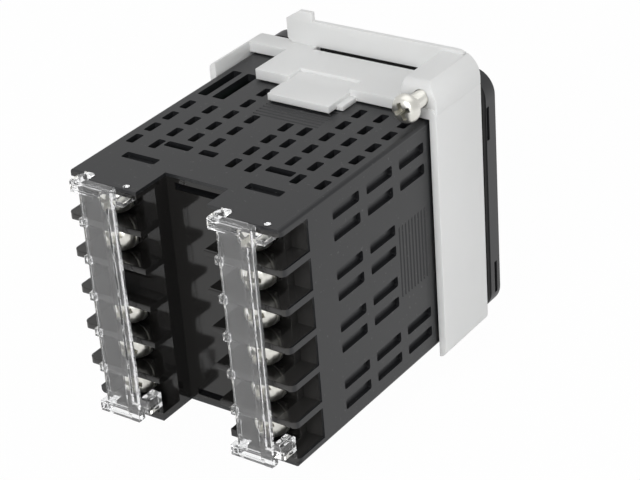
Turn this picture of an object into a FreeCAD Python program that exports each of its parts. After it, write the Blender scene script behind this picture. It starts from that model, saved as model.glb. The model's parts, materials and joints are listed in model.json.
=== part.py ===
"""Panel-mount temperature controller, 48 mm square, with its mounting adapter and terminal covers.

Millimetres. The origin is the centre of the panel seat, where the bezel flange meets the panel. +Y runs back
through the case to the terminals, +Z is up, and +X is to the right for someone who reads the display.
"""
import FreeCAD, Part
import math
import os
import re

import Sketcher
from FreeCAD import Placement, Rotation, Vector

doc = FreeCAD.newDocument("temperature_controller")

# Driving dimensions, one cell each: alias, value, meaning
SIZES = [
    ("case_width", "44.8", "case, across its front end"),
    ("case_depth", "60", "panel seat to the rear face"),
    ("rear_width", "44.1", "case, across its rear end"),
    ("rear_height", "44.4", "case, height of its rear end"),
    ("case_wall", "1.5", "side wall"),
    ("case_corner", "0.7", "corner rounding"),
    ("overcut", "1", "how far a cut runs past a face"),
    ("block_depth", "12", "rear face to the end of the hollow"),
    ("terminal_pitch", "7.13", "rows of terminals"),
    ("notch_width", "13", "central notch between the terminal columns"),
    ("notch_depth", "7.9", "central notch, from the rear face"),
    ("partition", "1.2", "web between two terminals"),
    ("land_depth", "4.7", "rear face to the terminal land"),
    ("channel_width", "3.9", "wire channel beside a land"),
    ("channel_depth", "7.5", "wire channel, from the rear face"),
    ("hook_notch", "2", "set-back of a shelf under a cover hook"),
    ("hook_gap", "0.3", "cover hook to the side of that set-back"),
    ("hook_cut", "1.8", "that set-back, in from the case's top"),
    ("column_rows", "6", "terminals in a column"),
    ("screw_dia", "3", "thread of every screw"),
    ("screw_x", "14.2", "terminal screws, from the middle of the case"),
    ("head_dia", "5.6", "terminal screw head"),
    ("head_height", "2.2", "terminal screw head"),
    ("head_crown", "0.7", "chamfer of a screw head's rim"),
    ("cross_width", "0.8", "cross recess, each arm"),
    ("cross_length", "3.4", "cross recess, tip to tip"),
    ("cross_depth", "1.3", "cross recess"),
    ("washer_side", "5.3", "square washer"),
    ("washer_thick", "0.7", "square washer"),
    ("plate_thick", "0.8", "terminal plate"),
    ("plate_length", "8.6", "terminal plate, along X"),
    ("plate_side_gap", "0.15", "plate to the partitions"),
    ("recess_radius", "5", "recess of a land, inward from the screw"),
    ("recess_lap", "0.01", "recess into the wire channel"),
    ("recess_floor", "5.7", "rear face to the floor of the recess"),
    ("thread_depth", "5", "screw hole below the recess floor"),
    ("thread_spare", "0.5", "end of a terminal screw to the end of its hole"),
    ("bore_gap", "0.05", "screw hole over the thread, on the radius"),
    ("gap_slot_middle", "20.1", "slots at both ends of the notch floor, height"),
    ("gap_slot_height", "1.3", "slots at both ends of the notch floor"),
    ("gap_slot_left", "-5.4", "slots at both ends of the notch floor"),
    ("gap_slot_right", "4.8", "slots at both ends of the notch floor"),
    ("vent_width", "1.6", "vent slot, along X"),
    ("vent_length", "3.3", "vent slot, along Y"),
    ("vent_pitch", "4.98", "vent rows"),
    ("vent_start", "15.8", "rear face to the middle of the first vent row"),
    ("cable_vent_width", "5.3", "wide opening behind each column"),
    ("cable_vent_length", "1.8", "wide opening, along Y"),
    ("lug_left", "13.6", "left catch opening, its middle"),
    ("lug_right", "12", "right catch opening, its middle"),
    ("lug_width", "7", "catch opening of the cover"),
    ("lug_length", "2", "catch opening of the cover"),
    ("lug_depth", "10.2", "rear face to the middle of the catch opening"),
    ("lug_cut", "1", "catch opening, depth"),
    ("long_slot_length", "11", "long openings beside the board"),
    ("long_slot_middle", "40.6", "rear face to the middle of the long openings"),
    ("outer_slot_x", "19.6", "outer long opening"),
    ("inner_slot_x", "16.1", "inner long opening"),
    ("outer_slot_width", "2", "outer long opening"),
    ("inner_slot_width", "2.6", "inner long opening"),
    ("pocket_length", "7.7", "louvre pocket, along Y"),
    ("pocket_height", "2", "louvre pocket, along Z"),
    ("pocket_depth", "1", "louvre pocket floor, in from the front end's width"),
    ("pocket_pitch", "9.9", "louvre columns"),
    ("pocket_start", "18.05", "rear face to the middle of the first louvre column"),
    ("ratchet_pitch", "1", "ratchet teeth"),
    ("ratchet_depth", "0.4", "ratchet teeth"),
    ("ratchet_crest", "0.2", "saw line above the case, between two teeth"),
    ("ratchet_width", "13.8", "ratchet patch"),
    ("ratchet_start", "32.8", "rear face to the first tooth"),
    ("bezel_width", "48", "bezel, across"),
    ("bezel_depth", "4", "bezel, in front of the panel"),
    ("bezel_corner", "4.5", "bezel corner radius"),
    ("bezel_edge", "0.8", "chamfer of the bezel's front rim"),
    ("bezel_wall", "1.6", "front wall of the bezel"),
    ("skirt_length", "4", "plug of the bezel inside the case"),
    ("skirt_wall", "1.2", "plug of the bezel"),
    ("skirt_gap", "0.15", "plug to the case wall"),
    ("window_width", "41", "display window"),
    ("window_height", "28", "display window"),
    ("window_middle", "4.5", "display window, height of its middle"),
    ("window_thick", "1", "lens"),
    ("window_lip", "1.2", "ledge that the lens is glued to"),
    ("window_lens_gap", "0.05", "lens to its seat"),
    ("grip_length", "6.5", "draw-out recess in the bezel's side"),
    ("grip_depth", "0.8", "draw-out recess"),
    ("upper_grip", "14.8", "upper draw-out recess, height"),
    ("upper_grip_start", "1", "upper draw-out recess, ahead of the panel seat"),
    ("lower_grip", "17", "lower draw-out recess, height below the middle"),
    ("lower_grip_start", "2.2", "lower draw-out recess, ahead of the panel seat"),
    ("grip_height", "0.9", "draw-out recess, along Y"),
    ("gasket_thick", "0.9", "panel gasket"),
    ("gasket_width", "1.3", "panel gasket ring"),
    ("gasket_gap", "0.1", "gasket to the case"),
    ("gasket_corner", "3.9", "outer corners of the gasket"),
    ("key_width", "7.6", "key cap"),
    ("key_height", "4.2", "key cap"),
    ("key_middle", "-16.6", "height of the key row"),
    ("key_pitch", "9.6", "key row"),
    ("key_gap", "0.25", "key cap to the bezel"),
    ("key_edge", "0.3", "chamfer of a key cap"),
    ("key_proud", "0.6", "key cap in front of the bezel"),
    ("key_travel", "0.35", "stroke of a key"),
    ("key_flange", "0.7", "flange that keeps a key in"),
    ("key_flange_side", "0.5", "that flange, beyond the cap"),
    ("key_play", "0.1", "key flange to the bezel"),
    ("key_stem", "2.4", "stem behind a key"),
    ("switch_side", "4.5", "tact switch body"),
    ("switch_height", "1.6", "tact switch body"),
    ("plunger_dia", "2.2", "tact switch plunger"),
    ("plunger_height", "0.4", "tact switch plunger"),
    ("board_thick", "1.2", "circuit boards"),
    ("front_board_side", "40.6", "front board"),
    ("module_gap", "0.1", "numeral block behind the bezel wall"),
    ("module_height", "22", "numeral block"),
    ("module_width", "36", "numeral block"),
    ("main_board_x", "14.8", "side boards, inner face from the middle"),
    ("side_board_height", "38", "side boards"),
    ("board_end_gap", "0.1", "side boards to their seats"),
    ("component_start", "14", "panel seat to the tall components"),
    ("transformer_width", "14", "transformer"),
    ("transformer_depth", "16", "transformer"),
    ("transformer_height", "20", "transformer"),
    ("relay_width", "8", "relay"),
    ("relay_depth", "18", "relay"),
    ("relay_height", "12", "relay"),
    ("cap_dia", "8", "capacitor"),
    ("cap_length", "12", "capacitor"),
    ("connector_length", "20", "board connector"),
    ("connector_side", "4", "board connector"),
    ("cover_gap", "0.6", "rear face to the cover"),
    ("cover_thick", "1", "cover plate"),
    ("cover_height", "45.2", "cover, overall"),
    ("cover_width", "7.4", "cover plate"),
    ("cover_bar_width", "9", "end bars of the cover"),
    ("cover_bar_height", "1.6", "end bars of the cover"),
    ("cover_rib", "0.6", "raised rib of the cover"),
    ("cover_middle", "14.7", "left cover, its middle"),
    ("right_cover_middle", "13.6", "right cover, its middle"),
    ("hook_width", "2.4", "cover hook"),
    ("hook_thick", "1", "cover hook"),
    ("hook_reach", "4.2", "cover hook, along Y"),
    ("clip_width", "2", "cover clip, along X"),
    ("clip_gap", "0.1", "cover clip to the partition"),
    ("clip_wall", "0.7", "cover clip"),
    ("clip_reach", "2", "cover clip, over a partition"),
    ("pin_inset", "0.9", "rear face to the cover's hinge pins"),
    ("pin_out", "1.1", "hinge pin, beyond the end bar"),
    ("pin_dia", "1.2", "hinge pin"),
    ("pin_play", "0.05", "hinge pin to its hole, on the radius"),
    ("pin_short", "0.1", "hinge pin, end below the top of the case"),
    ("knuckle_width", "2", "arm that carries a hinge pin"),
    ("knuckle_thick", "1", "arm that carries a hinge pin"),
    ("adapter_start", "1.6", "panel end of the adapter"),
    ("adapter_end", "16.6", "rear end of the adapter's sides"),
    ("plate_end", "15.6", "rear end of its top and bottom plates"),
    ("adapter_width", "48", "adapter, across"),
    ("adapter_height", "49.2", "adapter, top plate to bottom plate"),
    ("adapter_gap", "0.25", "adapter to the case"),
    ("adapter_corner", "1.5", "adapter's outer corners"),
    ("adapter_step", "6", "rear end of the plate beside the tab"),
    ("adapter_step_x", "14.3", "where that shallower plate begins"),
    ("tongue_left", "7", "ratchet tongue, its +X edge"),
    ("tongue_right", "5.9", "ratchet tongue, its -X edge"),
    ("tongue_end", "22.2", "rear end of the ratchet tongue"),
    ("tongue_top", "24", "ratchet tongue, upper face"),
    ("tongue_under", "22.75", "ratchet tongue, lower face"),
    ("root_left", "8.2", "thick root under the tongue, its +X edge"),
    ("root_right", "7.2", "thick root under the tongue, its -X edge"),
    ("root_end", "19.8", "rear end of the thick root, with its pawl"),
    ("root_top", "23.3", "thick root, upper face"),
    ("dip_start", "11.8", "thinner middle of the plate, its front end"),
    ("flange_top", "29.4", "upright wall, its free edge"),
    ("flange_thick", "1", "upright wall"),
    ("flange_right", "10.5", "upright wall, straight part, tab side"),
    ("tab_top", "31", "finger tab, its highest edge"),
    ("tab_reach", "16.2", "finger tab, its outer edge"),
    ("tab_slope", "1.8", "cut corners of the finger tab"),
    ("flange_round", "3.4", "cut corner of the upright wall"),
    ("slot_left", "11.9", "slot under the upright wall, screw side"),
    ("slot_right", "9.8", "slot under the upright wall, tab side"),
    ("slot_width", "1.2", "slot under the upright wall, behind it"),
    ("pawl_gap", "0.05", "pawl to the widest part of the case"),
    ("block_back", "0.3", "screw block, short of the sides' end"),
    ("block_right", "17", "screw block, inner face"),
    ("block_top", "28.8", "screw block"),
    ("clamp_x", "20.8", "clamp screw axis"),
    ("clamp_z", "26.1", "clamp screw axis"),
    ("clamp_length", "16", "clamp screw under its head"),
    ("clamp_stand", "3.8", "clamp screw head off its block"),
    ("clamp_head_dia", "5.2", "clamp screw head"),
    ("clamp_head_height", "2.1", "clamp screw head"),
]

# Vent columns of the top and bottom walls: x of the column, first row, number of rows
VENT_COLUMNS = [
    ("-19.5", 0, 6), ("-14.65", 0, 6), ("-10.2", 1, 5), ("-5.6", 0, 4), ("-1.7", 0, 4),
    ("5.4", 1, 3), ("9.9", 1, 5), ("14.5", 0, 4), ("19.35", 0, 4),
]

# Wide openings in line with the first row: x of the middle and the width
WIDE_VENTS = [("-10.55", "cable_vent_width"), ("4.2", "vent_length"), ("10.55", "cable_vent_width")]

# Louvre pockets of a side: height of a row and its number of columns
LOUVRE_ROWS = [
    ("18.2", 3), ("14.2", 3), ("7", 2), ("3", 2), ("-3", 2), ("-7", 2), ("-14.2", 3), ("-18.2", 3),
]

# Saw teeth of a ratchet patch, and openings drawn in one sketch
RATCHET_COUNT = 9
SKETCH_LOT = 8

sheet = doc.addObject("Spreadsheet::Sheet", "Sizes")
for row, (alias, value, meaning) in enumerate(SIZES, start=1):
    sheet.set("A%d" % row, meaning)
    sheet.set("B%d" % row, value)
    sheet.setAlias("B%d" % row, alias)
doc.recompute()

ALIASES = {alias for alias, value, meaning in SIZES}


def size(alias):
    """The number in a cell of the sheet."""
    return float(sheet.get(alias))


def bound(text):
    """An expression on the sheet's cells, from text that names them by alias alone."""
    return re.sub(r"[a-z_]+", lambda word: "Sizes." + word[0] if word[0] in ALIASES else word[0], str(text))


# Which way each origin plane of a body faces, along its own world axis
FACING = {"XZ_Plane": -1, "XY_Plane": 1, "YZ_Plane": 1}


def new_body(label):
    """An empty body, which becomes one node."""
    body = doc.addObject("PartDesign::Body", label)
    body.Label = label
    return body


def origin_feature(body, role):
    """A plane or an axis of the body's own origin."""
    return next(item for item in body.Origin.OriginFeatures if item.Role == role)


def new_sketch(body, name, role, place):
    """A sketch parallel to an origin plane, at a place along that plane's world axis."""
    sketch = body.newObject("Sketcher::SketchObject", name)
    sketch.AttachmentSupport = [(origin_feature(body, role), "")]
    sketch.MapMode = "FlatFace"
    sketch.setExpression("AttachmentOffset.Base.z", bound("%d * (%s)" % (FACING[role], place)))
    return sketch


def outline(sketch, points):
    """A closed run of straight lines through points whose two distances from the origin are bound."""
    count = len(points)
    first = sketch.GeometryCount
    start = sketch.ConstraintCount
    turns = [2 * math.pi * corner / count for corner in range(count)]
    corners = [Vector(3 + math.cos(turn), 3 + math.sin(turn), 0) for turn in turns]
    sketch.addGeometry(
        [Part.LineSegment(corners[i], corners[(i + 1) % count]) for i in range(count)], False)
    rules = [Sketcher.Constraint("Coincident", first + i, 2, first + (i + 1) % count, 1)
             for i in range(count)]
    for i in range(count):
        rules.append(Sketcher.Constraint("DistanceX", -1, 1, first + i, 1, corners[i].x))
        rules.append(Sketcher.Constraint("DistanceY", -1, 1, first + i, 1, corners[i].y))
    sketch.addConstraint(rules)
    for i, (across, up) in enumerate(points):
        sketch.setExpression("Constraints[%d]" % (start + count + 2 * i), bound(across))
        sketch.setExpression("Constraints[%d]" % (start + count + 2 * i + 1), bound(up))


def rectangle(sketch, left, right, low, high):
    """A rectangle between four bound places."""
    outline(sketch, [(left, low), (right, low), (right, high), (left, high)])


def polygon(sketch, across, up, radius, sides):
    """A regular polygon with a bound centre; radius is to its corners."""
    turns = [2 * math.pi * (corner + 0.5) / sides for corner in range(sides)]
    outline(sketch, [("%s + (%.6f) * (%s)" % (across, math.cos(turn), radius),
                      "%s + (%.6f) * (%s)" % (up, math.sin(turn), radius)) for turn in turns])


def clear_of(radius, sides):
    """The corner radius of a polygon whose flats stand off a round of that radius."""
    return "(%s) * %.6f" % (radius, 1 / math.cos(math.pi / sides))


def extrude(body, kind, sketch, length, way):
    """A Pad or a Pocket of a sketch; way is +1 or -1 along the world axis, and 0 goes both ways."""
    feature = body.newObject("PartDesign::" + kind, sketch.Name + "_" + kind.lower())
    feature.Profile = sketch
    feature.setExpression("Length", bound(length))
    role = sketch.AttachmentSupport[0][0].Role
    along = FACING[role] * way > 0
    feature.Refine = False
    feature.Midplane = way == 0
    feature.Reversed = way != 0 and along == (kind == "Pocket")
    body.Tip = feature
    return feature


def block(body, kind, name, across, along, up):
    """A Pad or a Pocket between bound places along X, Y and Z, each a pair."""
    sketch = new_sketch(body, name, "XZ_Plane", along[0])
    rectangle(sketch, across[0], across[1], up[0], up[1])
    return extrude(body, kind, sketch, "(%s) - (%s)" % (along[1], along[0]), 1)


def half_turn(body, name, features):
    """The features again, turned by 180 degrees about the Y axis."""
    pattern = body.newObject("PartDesign::PolarPattern", name)
    pattern.Originals = features
    pattern.Axis = (origin_feature(body, "Y_Axis"), [""])
    pattern.Angle = 360
    pattern.Occurrences = 2
    body.Tip = pattern
    return pattern


def soften(body, kind, name, amount, wanted):
    """A Fillet or a Chamfer on the edges of the body's last feature that wanted accepts."""
    doc.recompute()
    last = body.Tip
    names = ["Edge%d" % number for number, edge in enumerate(last.Shape.Edges, start=1) if wanted(edge)]
    softened = body.newObject("PartDesign::" + kind, name)
    softened.Base = (last, names)
    softened.setExpression("Radius" if kind == "Fillet" else "Size", bound(amount))
    body.Tip = softened
    return softened


def lies_at(edge, along):
    """Whether an edge lies at one place along Y."""
    return max(abs(corner.Y - along) for corner in edge.Vertexes) < 1e-6


def runs_along(edge, axis):
    """Whether a straight edge runs mainly along an axis."""
    if edge.Curve.TypeId != "Part::GeomLine":
        return False
    start, end = edge.Vertexes[0].Point, edge.Vertexes[-1].Point
    return abs((end - start).normalize().dot(axis)) > 0.99


def rows(pitch, count):
    """Places of a centred row, as text."""
    return ["(%s) * (%s)" % (pitch, place - (count - 1) / 2) for place in range(count)]


def group(label, master, places):
    """One node that holds a copy of the master's shape at each place, turned round Y on the -X side."""
    node = doc.addObject("Part::Feature", label)
    node.Label = label
    copies = []
    for across, along, up in places:
        copy = master.Shape.copy()
        turn = 180 if across < 0 else 0
        copy.Placement = Placement(Vector(across, along, up), Rotation(Y_AXIS, turn))
        copies.append(copy)
    node.Shape = Part.makeCompound(copies)
    return node


Y_AXIS = Vector(0, 1, 0)

# Places that several pieces share
CASE_HALF = "case_width / 2"
HOLLOW_HALF = "(case_width / 2 - case_wall)"
SKIRT_OUT = "(case_width / 2 - case_wall - skirt_gap)"
SKIRT_IN = "(case_width / 2 - case_wall - skirt_gap - skirt_wall)"
NOTCH_HALF = "notch_width / 2"
PIN_X = "%s - cover_bar_width / 2 - pin_out"
TERMINAL_ROWS = rows("terminal_pitch", int(size("column_rows")))

# Flats of the screws, their bores and their heads
BORE_SIDES = 12
HEAD_SIDES = 16
SCREW_BORE = clear_of("screw_dia / 2 + bore_gap", BORE_SIDES)

# The third place from the top of the left column is moulded blank
SCREW_PLACES = [(side, row) for side in (-1, 1) for row in range(len(TERMINAL_ROWS))
                if not (side == 1 and row == len(TERMINAL_ROWS) - 3)]


def row_height(row):
    """Height of a terminal row, as a number."""
    return size("terminal_pitch") * (row - (len(TERMINAL_ROWS) - 1) / 2)


def make_case():
    """The case: a drafted box, hollow from the front, cut into two terminal columns at the rear."""
    body = new_body("rear_case")
    outer = body.newObject("PartDesign::AdditiveWedge", "drafted_box")
    spans = (("Xmin", "Xmax", "case_width"), ("Zmin", "Zmax", "case_width"),
             ("X2min", "X2max", "rear_width"), ("Z2min", "Z2max", "rear_height"))
    for low, high, width in spans:
        outer.setExpression(low, bound("-%s / 2" % width))
        outer.setExpression(high, bound("%s / 2" % width))
    outer.Ymin = 0
    outer.setExpression("Ymax", bound("case_depth"))
    body.Tip = outer
    soften(body, "Fillet", "case_corners", "case_corner", lambda edge: runs_along(edge, Y_AXIS))
    block(body, "Pocket", "hollow", ("-" + HOLLOW_HALF, HOLLOW_HALF),
          ("0", "case_depth - block_depth"), ("-" + HOLLOW_HALF, HOLLOW_HALF))
    cut_vents(body)
    cut_louvres(body)
    cut_ratchet(body)
    cut_terminals(body)
    cut_notch(body)
    return body


def cut_terminals(body):
    """Open compartments between webs: a land, a wire channel outside it, a recess and a screw hole."""
    beyond = "(%s + overcut)" % CASE_HALF
    bay = "(terminal_pitch - partition) / 2"
    lands = new_sketch(body, "lands", "XZ_Plane", "case_depth - land_depth")
    channels = new_sketch(body, "channels", "XZ_Plane", "case_depth - channel_depth")
    for side in (-1, 1):
        inner = "%d * (%s - overcut)" % (side, NOTCH_HALF)
        edge = "%d * (%s - channel_width)" % (side, CASE_HALF)
        outer = "%d * %s" % (side, beyond)
        for height in TERMINAL_ROWS:
            low, high = "%s - %s" % (height, bay), "%s + %s" % (height, bay)
            rectangle(lands, inner, outer, low, high)
            rectangle(channels, edge, outer, low, high)
    extrude(body, "Pocket", lands, "land_depth + overcut", 1)
    extrude(body, "Pocket", channels, "channel_depth + overcut", 1)
    recesses = new_sketch(body, "recesses", "XZ_Plane", "case_depth - recess_floor")
    holes = new_sketch(body, "screw_holes", "XZ_Plane", "case_depth - recess_floor")
    for side, row in SCREW_PLACES:
        height = TERMINAL_ROWS[row]
        low, high = "%s - %s" % (height, bay), "%s + %s" % (height, bay)
        start = "%d * (screw_x - recess_radius)" % side
        edge = "%d * (%s - channel_width + recess_lap)" % (side, CASE_HALF)
        rectangle(recesses, start, edge, low, high)
        polygon(holes, "%d * screw_x" % side, height, clear_of("screw_dia / 2 + bore_gap", 4), 4)
    extrude(body, "Pocket", recesses, "recess_floor", 1)
    extrude(body, "Pocket", holes, "thread_depth", -1)
    hook_cuts = new_sketch(body, "hook_cuts", "XZ_Plane", "case_depth - hook_notch")
    for middle, edge in (("cover_middle", CASE_HALF), ("-right_cover_middle", "(-%s)" % NOTCH_HALF)):
        for side in (-1, 1):
            start = "%s + cover_bar_width / 2 - hook_width - hook_gap" % middle
            rectangle(hook_cuts, start, "%s + overcut" % edge,
                      "%d * (%s - hook_cut)" % (side, CASE_HALF), "%d * %s" % (side, beyond))
    extrude(body, "Pocket", hook_cuts, "hook_notch + overcut", 1)
    for side, name in ((1, "upper_pin_holes"), (-1, "lower_pin_holes")):
        holes = new_sketch(body, name, "XY_Plane", "%d * (%s - hook_cut)" % (side, CASE_HALF))
        for middle in ("cover_middle", "-right_cover_middle"):
            polygon(holes, PIN_X % middle, "case_depth - pin_inset",
                    clear_of("pin_dia / 2 + pin_play", BORE_SIDES), BORE_SIDES)
        extrude(body, "Pocket", holes, "hook_cut + overcut", side)


def cut_notch(body):
    """The notch between the columns, with a narrow slot at each end of its floor."""
    floor = "case_depth - notch_depth"
    above = "(%s + overcut)" % CASE_HALF
    block(body, "Pocket", "notch", ("-" + NOTCH_HALF, NOTCH_HALF), (floor, "case_depth + overcut"),
          ("-" + above, above))
    slots = new_sketch(body, "gap_slots", "XZ_Plane", "case_depth - block_depth - overcut")
    for side in (-1, 1):
        rectangle(slots, "gap_slot_left", "gap_slot_right",
                  "%d * gap_slot_middle - gap_slot_height / 2" % side,
                  "%d * gap_slot_middle + gap_slot_height / 2" % side)
    extrude(body, "Pocket", slots, "block_depth - notch_depth + 2 * overcut", 1)


def pierce(body, name, role, place, openings, length, way):
    """Rectangular pockets, a few to a sketch so that each sketch stays quick to solve."""
    for number, first in enumerate(range(0, len(openings), SKETCH_LOT), start=1):
        sketch = new_sketch(body, "%s_%d" % (name, number), role, place)
        for edges in openings[first:first + SKETCH_LOT]:
            rectangle(sketch, *edges)
        extrude(body, "Pocket", sketch, length, way)


def around(across, width, along, length):
    """The four edges of an opening, from its middle and its two sizes."""
    return ("%s - %s / 2" % (across, width), "%s + %s / 2" % (across, width),
            "%s - %s / 2" % (along, length), "%s + %s / 2" % (along, length))


def cut_vents(body):
    """Slots through the top and bottom walls, in columns, and the wider openings among them."""
    vents = []
    for across, first, count in VENT_COLUMNS:
        for row in range(first, first + count):
            along = "case_depth - vent_start - vent_pitch * %d" % row
            vents.append(around(across, "vent_width", along, "vent_length"))
    along = "case_depth - vent_start - cable_vent_length / 2"
    for across, width in WIDE_VENTS:
        vents.append(around(across, width, along, "cable_vent_length"))
    for name in ("outer_slot", "inner_slot"):
        vents.append(around(name + "_x", name + "_width",
                            "case_depth - long_slot_middle", "long_slot_length"))
    pierce(body, "vents", "XY_Plane", "0", vents, "case_width * 2", 0)
    lugs = [around(across, "lug_width", "case_depth - lug_depth", "lug_length")
            for across in ("-lug_right", "lug_left")]
    for side, name in ((1, "upper_lugs"), (-1, "lower_lugs")):
        pierce(body, name, "XY_Plane", "%d * (%s - lug_cut)" % (side, CASE_HALF), lugs,
               "lug_cut + overcut", side)


def cut_louvres(body):
    """Blind louvre pockets in both sides, in columns that stop short of the ratchet patch."""
    pockets = [around("case_depth - pocket_start - pocket_pitch * %d" % column, "pocket_length",
                      height, "pocket_height")
               for height, count in LOUVRE_ROWS for column in range(count)]
    for side, name in ((1, "left_louvres"), (-1, "right_louvres")):
        pierce(body, name, "YZ_Plane", "%d * (%s - pocket_depth)" % (side, CASE_HALF), pockets,
               "pocket_depth + overcut", side)


def cut_ratchet(body):
    """Saw teeth across the middle of each of the four sides, for the adapter's pawls."""
    start = "case_depth - ratchet_start"
    deep = "(%s - ratchet_depth)" % CASE_HALF
    crest = "(%s + ratchet_crest)" % CASE_HALF
    above = "(%s + overcut)" % CASE_HALF
    saw = [(start, above)]
    for tooth in range(RATCHET_COUNT):
        saw.append(("%s - ratchet_pitch * %d" % (start, tooth), deep))
        saw.append(("%s - ratchet_pitch * %d" % (start, tooth + 1), crest))
    saw.append(("%s - ratchet_pitch * %d" % (start, RATCHET_COUNT), above))
    for role, side, name in (("YZ_Plane", 1, "left_teeth"), ("YZ_Plane", -1, "right_teeth"),
                             ("XY_Plane", 1, "upper_teeth"), ("XY_Plane", -1, "lower_teeth")):
        teeth = new_sketch(body, name, role, "0")
        points = [(along, "%d * %s" % (side, out)) for along, out in saw]
        outline(teeth, points if role == "YZ_Plane" else [(out, along) for along, out in points])
        extrude(body, "Pocket", teeth, "ratchet_width", 0)


def make_bezel():
    """The bezel: a rounded plate with a hollow back, a plug that enters the case, window and key openings."""
    body = new_body("front_bezel")
    half = "bezel_width / 2"
    plate = new_sketch(body, "bezel_outline", "XZ_Plane", "0")
    rectangle(plate, "-" + half, half, "-" + half, half)
    extrude(body, "Pad", plate, "bezel_depth", -1)
    soften(body, "Fillet", "bezel_corners", "bezel_corner", lambda edge: runs_along(edge, Y_AXIS))
    soften(body, "Chamfer", "bezel_rim", "bezel_edge", lambda edge: lies_at(edge, -size("bezel_depth")))
    block(body, "Pad", "skirt", ("-" + SKIRT_OUT, SKIRT_OUT), ("-bezel_wall", "skirt_length"),
          ("-" + SKIRT_OUT, SKIRT_OUT))
    block(body, "Pocket", "bezel_hollow", ("-" + SKIRT_IN, SKIRT_IN),
          ("bezel_wall - bezel_depth", "skirt_length"), ("-" + SKIRT_IN, SKIRT_IN))
    low, high = "(window_middle - window_height / 2)", "(window_middle + window_height / 2)"
    block(body, "Pocket", "window_seat", ("-window_width / 2", "window_width / 2"),
          ("-bezel_depth - overcut", "window_thick - bezel_depth"), (low, high))
    block(body, "Pocket", "window_opening",
          ("window_lip - window_width / 2", "window_width / 2 - window_lip"),
          ("-bezel_depth - overcut", "0"), (low + " + window_lip", high + " - window_lip"))
    keys = new_sketch(body, "key_openings", "XZ_Plane", "-bezel_depth - overcut")
    for place in rows("key_pitch", 4):
        rectangle(keys, "%s - key_width / 2 - key_gap" % place, "%s + key_width / 2 + key_gap" % place,
                  "key_middle - key_height / 2 - key_gap", "key_middle + key_height / 2 + key_gap")
    extrude(body, "Pocket", keys, "bezel_wall + 2 * overcut", 1)
    for name, middle, along in (("upper_draw", "upper_grip", "-upper_grip_start"),
                                ("lower_draw", "-lower_grip", "-lower_grip_start")):
        block(body, "Pocket", name, ("-%s - overcut" % half, "grip_depth - %s" % half),
              (along, "%s + grip_height" % along),
              ("%s - grip_length / 2" % middle, "%s + grip_length / 2" % middle))
    return body


def make_window():
    """The smoked lens, glued into its seat flush with the bezel."""
    body = new_body("display_window")
    block(body, "Pad", "lens", ("window_lens_gap - window_width / 2", "window_width / 2 - window_lens_gap"),
          ("-bezel_depth", "window_thick - bezel_depth"),
          ("window_middle - window_height / 2 + window_lens_gap",
           "window_middle + window_height / 2 - window_lens_gap"))
    return body


def make_gasket():
    """The panel gasket, a flat square ring against the back of the bezel flange."""
    body = new_body("panel_gasket")
    inner = "(%s + gasket_gap)" % CASE_HALF
    outer = "(%s + gasket_gap + gasket_width)" % CASE_HALF
    block(body, "Pad", "gasket_sheet", ("-" + outer, outer), ("0", "gasket_thick"), ("-" + outer, outer))
    soften(body, "Fillet", "gasket_corners", "gasket_corner", lambda edge: runs_along(edge, Y_AXIS))
    block(body, "Pocket", "gasket_opening", ("-" + inner, inner), ("-overcut", "gasket_thick + overcut"),
          ("-" + inner, inner))
    return body


def make_key(label, place):
    """A key: cap through the bezel, flange behind it, and a stem that ends just short of its switch."""
    body = new_body(label)
    wall_back = "(bezel_wall - bezel_depth)"
    cap_x = ("%s - key_width / 2" % place, "%s + key_width / 2" % place)
    cap_z = ("key_middle - key_height / 2", "key_middle + key_height / 2")
    block(body, "Pad", label + "_cap", cap_x, ("-bezel_depth - key_proud", wall_back + " + key_play"), cap_z)
    front = -size("bezel_depth") - size("key_proud")
    soften(body, "Chamfer", label + "_rim", "key_edge", lambda edge: lies_at(edge, front))
    block(body, "Pad", label + "_flange", (cap_x[0] + " - key_flange_side", cap_x[1] + " + key_flange_side"),
          (wall_back + " + key_play", wall_back + " + key_play + key_flange"),
          (cap_z[0] + " - key_flange_side", cap_z[1] + " + key_flange_side"))
    block(body, "Pad", label + "_stem", ("%s - key_stem / 2" % place, "%s + key_stem / 2" % place),
          (wall_back + " + key_play",
           "skirt_length - switch_height - plunger_height - key_travel - key_play"),
          ("key_middle - key_stem / 2", "key_middle + key_stem / 2"))
    return body


def make_switch():
    """A tact switch, seen from the front: square body and round plunger."""
    body = new_body("tact_switch")
    block(body, "Pad", "switch_base", ("-switch_side / 2", "switch_side / 2"), ("-switch_height", "0"),
          ("-switch_side / 2", "switch_side / 2"))
    plunger = new_sketch(body, "switch_plunger", "XZ_Plane", "-switch_height")
    polygon(plunger, "0", "0", "plunger_dia / 2", 8)
    extrude(body, "Pad", plunger, "plunger_height", -1)
    return body


def make_screw(label, head_dia, head_height, length):
    """A pan head screw along Y, with the seat of its head at the origin and a cross recess."""
    body = new_body(label)
    shank = new_sketch(body, label + "_shank", "XZ_Plane", "0")
    polygon(shank, "0", "0", "screw_dia / 2", BORE_SIDES)
    extrude(body, "Pad", shank, length, -1)
    head = new_sketch(body, label + "_head", "XZ_Plane", "0")
    polygon(head, "0", "0", "%s / 2" % head_dia, HEAD_SIDES)
    extrude(body, "Pad", head, head_height, 1)
    soften(body, "Chamfer", label + "_crown", "head_crown", lambda edge: lies_at(edge, size(head_height)))
    cross = new_sketch(body, label + "_cross", "XZ_Plane", "%s - cross_depth" % head_height)
    wide, thin = "cross_length / 2", "cross_width / 2"
    neg_wide, neg_thin = "-" + wide, "-" + thin
    outline(cross, [
        (neg_wide, neg_thin), (neg_thin, neg_thin), (neg_thin, neg_wide), (thin, neg_wide),
        (thin, neg_thin), (wide, neg_thin), (wide, thin), (thin, thin), (thin, wide),
        (neg_thin, wide), (neg_thin, thin), (neg_wide, thin)])
    extrude(body, "Pocket", cross, "cross_depth + overcut", 1)
    return body


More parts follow.
